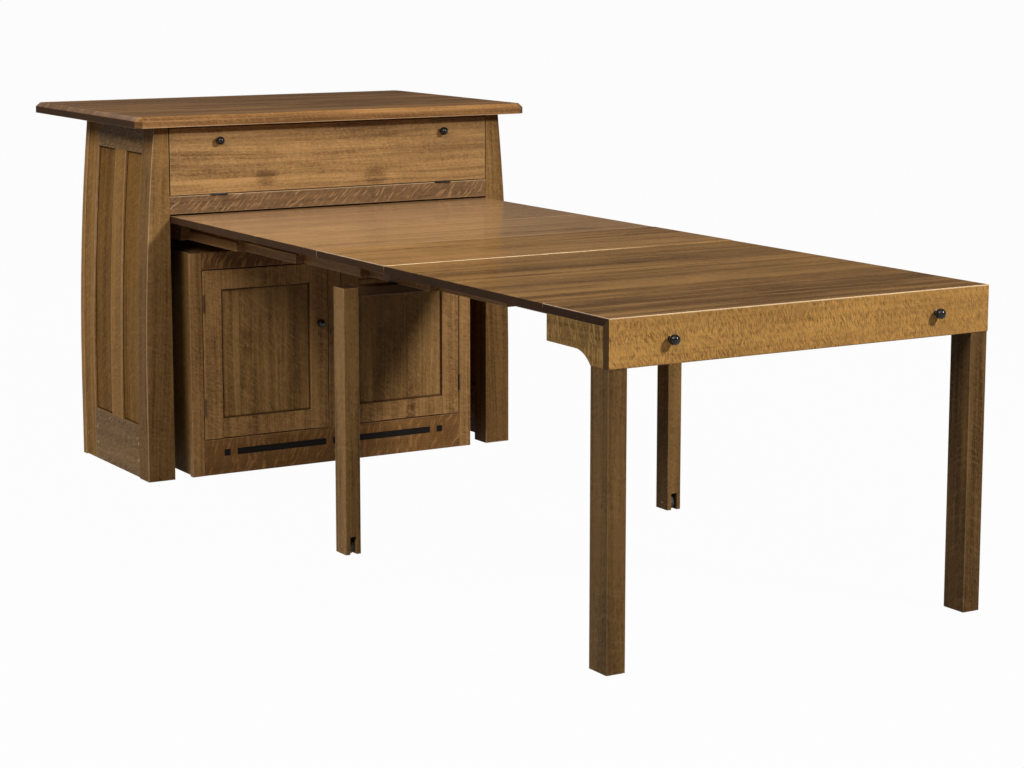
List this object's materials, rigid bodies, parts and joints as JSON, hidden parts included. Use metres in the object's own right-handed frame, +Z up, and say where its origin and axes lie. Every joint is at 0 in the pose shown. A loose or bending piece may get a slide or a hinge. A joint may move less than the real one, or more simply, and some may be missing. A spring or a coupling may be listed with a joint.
{
  "type": "kitchen island with extension table",
  "caption": "Kitchen island with bowed posts, a cupboard below, a drop-front compartment and a pull-out extension table with lift-off leaves on telescoping wooden slides.",
  "frame": {"origin": "on the floor, under the middle of the island and its extended table", "axes": "+X to the cabinet's right seen from the table end, +Y from the table end to the cabinet's back, +Z up"},
  "size_m": [1.264, 3.0656, 1.048],
  "materials": {
    "oak_top": "satin",
    "oak_side": "satin",
    "oak_front": "satin",
    "oak_table": "gloss",
    "oak_slide": "satin",
    "oak_inside": "satin",
    "dark_inlay": "satin",
    "dark_knob": "gloss",
    "dark_hinge": "satin",
    "steel_pin": "satin",
    "wheel_rubber": "matt"
  },
  "bodies": {
    "cabinet": {"island_top": "oak_top", "post_front_left": "oak_front", "post_front_right": "oak_front", "posts_back": "oak_side", "side_rails_left": "oak_side", "side_rails_right": "oak_side", "side_stiles_left": "oak_side", "side_stiles_right": "oak_side", "side_panels_left": "oak_side", "side_panels_right": "oak_side", "back_rails": "oak_side", "back_stile": "oak_side", "back_panels": "oak_side", "middle_rail": "oak_front", "compartment_floor": "oak_inside", "compartment_sides": "oak_inside", "slide_blocks": "oak_slide", "slide_pair_0": "oak_slide", "cupboard_stiles": "oak_front", "cupboard_rails": "oak_front", "cupboard_inlay": "dark_inlay", "cupboard_sides": "oak_side", "cupboard_boards": "oak_inside", "cupboard_back": "oak_inside", "hinge_fixed_leaves": "dark_hinge"},
    "drop_front": {"drop_front": "oak_front", "drop_front_knobs": "dark_knob", "drop_front_hinge_leaves": "dark_hinge"},
    "door_left": {"door_frame_left": "oak_front", "door_panel_left": "oak_front", "door_fittings_left": "dark_knob"},
    "door_right": {"door_frame_right": "oak_front", "door_panel_right": "oak_front", "door_fittings_right": "dark_knob"},
    "slide_stage_1": {"slide_pair_1": "oak_slide"},
    "slide_stage_2": {"slide_pair_2": "oak_slide"},
    "slide_stage_3": {"slide_pair_3": "oak_slide"},
    "slide_stage_4": {"slide_pair_4": "oak_slide", "mid_legs": "oak_side", "mid_cross_rail": "oak_slide", "mid_leg_axles": "steel_pin"},
    "slide_stage_5": {"slide_pair_5": "oak_slide"},
    "slide_stage_6": {"slide_pair_6": "oak_slide"},
    "table_end": {"slide_pair_7": "oak_slide", "end_top": "oak_table", "end_apron": "oak_front", "end_skirts": "oak_side", "end_legs": "oak_side", "end_knobs": "dark_knob", "leaf_5": "oak_table", "leaf_6": "oak_table"},
    "leaf_1": {"leaf_1": "oak_table"},
    "leaf_2": {"leaf_2": "oak_table"},
    "leaf_3": {"leaf_3": "oak_table"},
    "leaf_4": {"leaf_4": "oak_table"},
    "wheel_left": {"wheel_left": "wheel_rubber"},
    "wheel_right": {"wheel_right": "wheel_rubber"}
  },
  "joints": [
    {"name": "drop_front_hinge", "type": "hinge", "parent": "cabinet", "child": "drop_front", "pos_m": [0, 0.75965, 0.819], "axis": [1, 0, 0], "range_deg": [0, 90]},
    {"name": "door_left_hinge", "type": "hinge", "parent": "cabinet", "child": "door_left", "pos_m": [-0.42275, 0.75965, 0.35], "axis": [0, 0, -1], "range_deg": [0, 110]},
    {"name": "door_right_hinge", "type": "hinge", "parent": "cabinet", "child": "door_right", "pos_m": [0.42275, 0.75965, 0.35], "axis": [0, 0, 1], "range_deg": [0, 110]},
    {"name": "slide_stage_1_slide", "type": "slide", "parent": "cabinet", "child": "slide_stage_1", "axis": [0, 1, 0], "range_m": [0, 0.0454]},
    {"name": "slide_stage_2_slide", "type": "slide", "parent": "slide_stage_1", "child": "slide_stage_2", "axis": [0, 1, 0], "range_m": [0, 0.0454]},
    {"name": "slide_stage_3_slide", "type": "slide", "parent": "slide_stage_2", "child": "slide_stage_3", "axis": [0, 1, 0], "range_m": [0, 0.0454]},
    {"name": "slide_stage_4_slide", "type": "slide", "parent": "slide_stage_3", "child": "slide_stage_4", "axis": [0, 1, 0], "range_m": [0, 0.0454]},
    {"name": "slide_stage_5_slide", "type": "slide", "parent": "slide_stage_4", "child": "slide_stage_5", "axis": [0, 1, 0], "range_m": [0, 0.0454]},
    {"name": "slide_stage_6_slide", "type": "slide", "parent": "slide_stage_5", "child": "slide_stage_6", "axis": [0, 1, 0], "range_m": [0, 0.0454]},
    {"name": "table_end_slide", "type": "slide", "parent": "slide_stage_6", "child": "table_end", "axis": [0, 1, 0], "range_m": [0, 0.0454]},
    {"name": "leaf_1_lift", "type": "slide", "parent": "table_end", "child": "leaf_1", "axis": [0, 0, 1], "range_m": [0, 0.15]},
    {"name": "leaf_2_lift", "type": "slide", "parent": "table_end", "child": "leaf_2", "axis": [0, 0, 1], "range_m": [0, 0.15]},
    {"name": "leaf_3_lift", "type": "slide", "parent": "table_end", "child": "leaf_3", "axis": [0, 0, 1], "range_m": [0, 0.15]},
    {"name": "leaf_4_lift", "type": "slide", "parent": "table_end", "child": "leaf_4", "axis": [0, 0, 1], "range_m": [0, 0.15]},
    {"name": "wheel_left_spin", "type": "hinge", "parent": "slide_stage_4", "child": "wheel_left", "pos_m": [-0.4901, -0.27045, 0.02], "axis": [1, 0, 0], "continuous": true},
    {"name": "wheel_right_spin", "type": "hinge", "parent": "slide_stage_4", "child": "wheel_right", "pos_m": [0.4901, -0.27045, 0.02], "axis": [1, 0, 0], "continuous": true}
  ],
  "couplings": [
    {"joint": "slide_stage_1_slide", "follows": "table_end_slide", "ratio": 1},
    {"joint": "slide_stage_2_slide", "follows": "table_end_slide", "ratio": 1},
    {"joint": "slide_stage_3_slide", "follows": "table_end_slide", "ratio": 1},
    {"joint": "slide_stage_4_slide", "follows": "table_end_slide", "ratio": 1},
    {"joint": "slide_stage_5_slide", "follows": "table_end_slide", "ratio": 1},
    {"joint": "slide_stage_6_slide", "follows": "table_end_slide", "ratio": 1}
  ]
}
